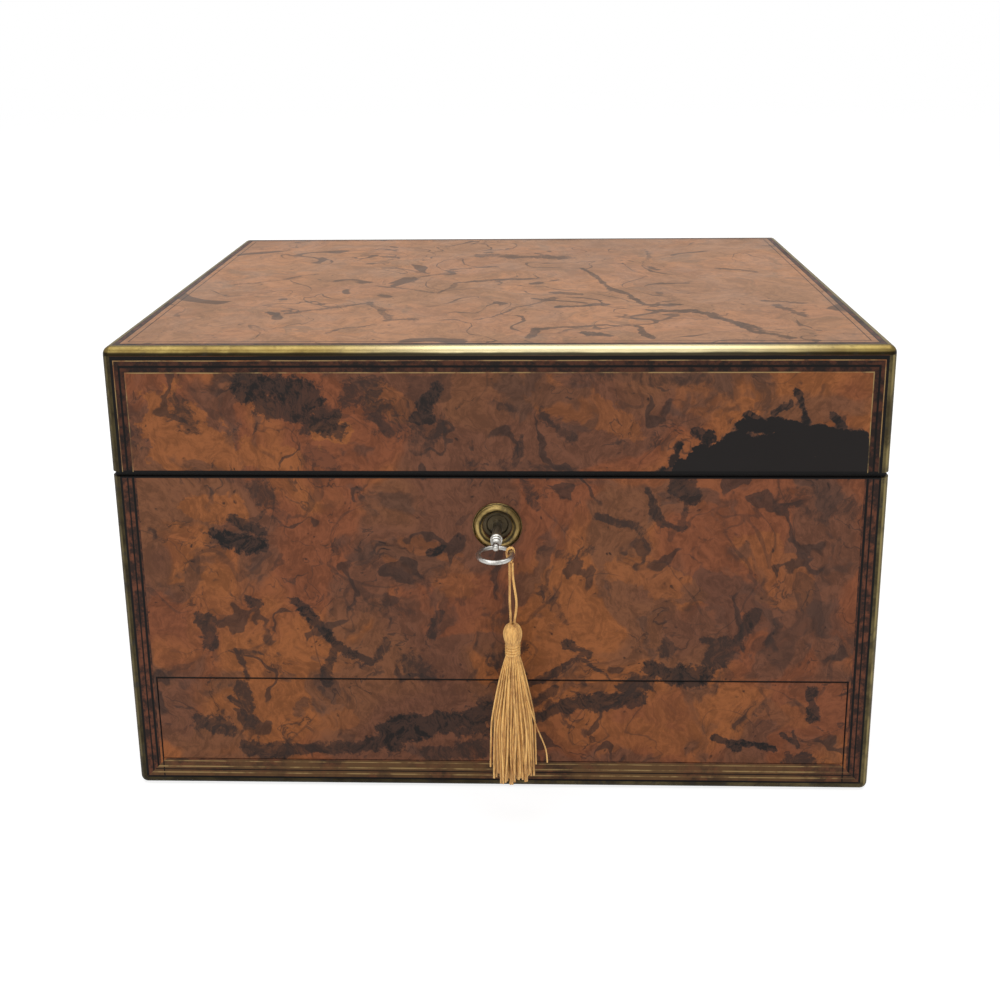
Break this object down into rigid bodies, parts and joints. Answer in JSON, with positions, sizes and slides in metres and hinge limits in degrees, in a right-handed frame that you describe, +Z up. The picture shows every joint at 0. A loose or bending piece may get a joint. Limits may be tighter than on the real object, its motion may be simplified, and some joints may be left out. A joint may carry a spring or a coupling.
{
  "type": "fitted dressing box",
  "caption": "Antique burr veneered, brass bound dressing box with hinged lid, front drawer, box lock, key with silk tassel, glass jars, lift-out tray and mirror.",
  "frame": {"origin": "middle of the underside of the box", "axes": "+X to the box's right seen from its front, +Y to its back, where the hinges are, +Z up"},
  "size_m": [0.305, 0.2663, 0.1915],
  "materials": {
    "mahogany": "oiled",
    "burr_veneer": "french polished, satin gloss",
    "brass_edging": "aged",
    "ebonised_facing": "polished",
    "brass_fittings": "aged polish",
    "key_steel": "worn polish",
    "leather": "matt",
    "velvet": "short pile",
    "glass": "clear",
    "silver_plate": "polished, lightly tarnished",
    "mirror_glass": "polished",
    "silk": "satin"
  },
  "bodies": {
    "case": {"case_sides": "mahogany", "case_front_board": "mahogany", "case_back_board": "mahogany", "case_base": "mahogany", "dust_board": "mahogany", "compartment_dividers": "mahogany", "case_front_veneer": "burr_veneer", "case_side_veneers": "burr_veneer", "case_corner_strips": "brass_edging", "case_base_strips": "brass_edging", "case_rim_facing": "ebonised_facing", "case_hinge_leaves": "brass_fittings", "hinge_pins": "brass_fittings", "case_screws": "brass_fittings", "lock_case": "brass_fittings", "lock_nozzle": "brass_fittings", "escutcheon": "brass_fittings", "pin_guide": "brass_fittings", "base_leather": "leather", "case_lining": "velvet", "jar_1": "glass", "jar_2": "glass", "jar_3": "glass", "jar_4": "glass", "oblong_jars": "glass", "jar_lid_1": "silver_plate", "jar_lid_2": "silver_plate", "jar_lid_3": "silver_plate", "jar_lid_4": "silver_plate", "oblong_lids": "silver_plate"},
    "lid": {"lid_frame": "mahogany", "lid_top_board": "mahogany", "lid_top_veneer": "burr_veneer", "lid_front_veneer": "burr_veneer", "lid_side_veneers": "burr_veneer", "lid_corner_strips": "brass_edging", "lid_top_strips": "brass_edging", "lid_rim_facing": "ebonised_facing", "lid_lining": "velvet", "mirror": "mirror_glass", "lid_hinge_leaves": "brass_fittings", "lid_screws": "brass_fittings", "link_plate": "brass_fittings"},
    "drawer": {"drawer_front": "mahogany", "drawer_veneer": "burr_veneer", "drawer_sides": "mahogany", "drawer_bottom": "mahogany", "drawer_lining": "velvet"},
    "lock_plug": {"lock_plug": "brass_fittings"},
    "lock_bolt": {"lock_bolt": "brass_fittings"},
    "key": {"key": "key_steel"},
    "tassel_knot": {"tassel_knot": "silk"},
    "tassel": {"tassel_cord_left": "silk", "tassel_cord_right": "silk", "tassel_head": "silk", "tassel_binding": "silk", "tassel_skirt": "silk"},
    "drawer_pin": {"drawer_pin": "brass_fittings"},
    "tray": {"tray_body": "mahogany", "tray_lining": "velvet"}
  },
  "joints": [
    {"name": "drawer_slide", "type": "slide", "parent": "case", "child": "drawer", "axis": [0, -1, 0], "range_m": [0, 0.15], "deforming": ["tassel_knot", "tassel_cord_left", "tassel_cord_right", "tassel_head", "tassel_binding", "tassel_skirt"]},
    {"name": "key_pull", "type": "slide", "parent": "lock_plug", "child": "key", "axis": [0, -1, 0], "range_m": [0, 0.012]},
    {"name": "key_turn", "type": "hinge", "parent": "case", "child": "lock_plug", "pos_m": [0, -0.11, 0.118], "axis": [0, 1, 0], "range_deg": [0, 90]},
    {"name": "lid_hinge", "type": "hinge", "parent": "case", "child": "lid", "pos_m": [0, 0.1162, 0.1396], "axis": [-1, 0, 0], "range_deg": [0, 100]},
    {"name": "pin_drop", "type": "slide", "parent": "case", "child": "drawer_pin", "axis": [0, 0, -1], "range_m": [0, 0.006]},
    {"name": "tassel_swing", "type": "hinge", "parent": "tassel_knot", "child": "tassel", "pos_m": [0.00525, -0.1363, 0.11424], "axis": [-1, 0, 0], "range_deg": [-6, 60]},
    {"name": "tray_lift", "type": "slide", "parent": "case", "child": "tray", "axis": [0, 0, 1], "range_m": [0, 0.035]},
    {"name": "bolt_slide", "type": "slide", "parent": "case", "child": "lock_bolt", "axis": [1, 0, 0], "range_m": [0, 0.0048]},
    {"name": "tassel_plumb", "type": "hinge", "parent": "key", "child": "tassel_knot", "pos_m": [0.00554, -0.1373, 0.118], "axis": [0, 1, 0], "range_deg": [-90.5, 0]}
  ],
  "couplings": [
    {"joint": "key_turn", "follows": "bolt_slide", "rad_per_m": 326.68},
    {"joint": "tassel_plumb", "follows": "bolt_slide", "rad_per_m": -326.68}
  ]
}
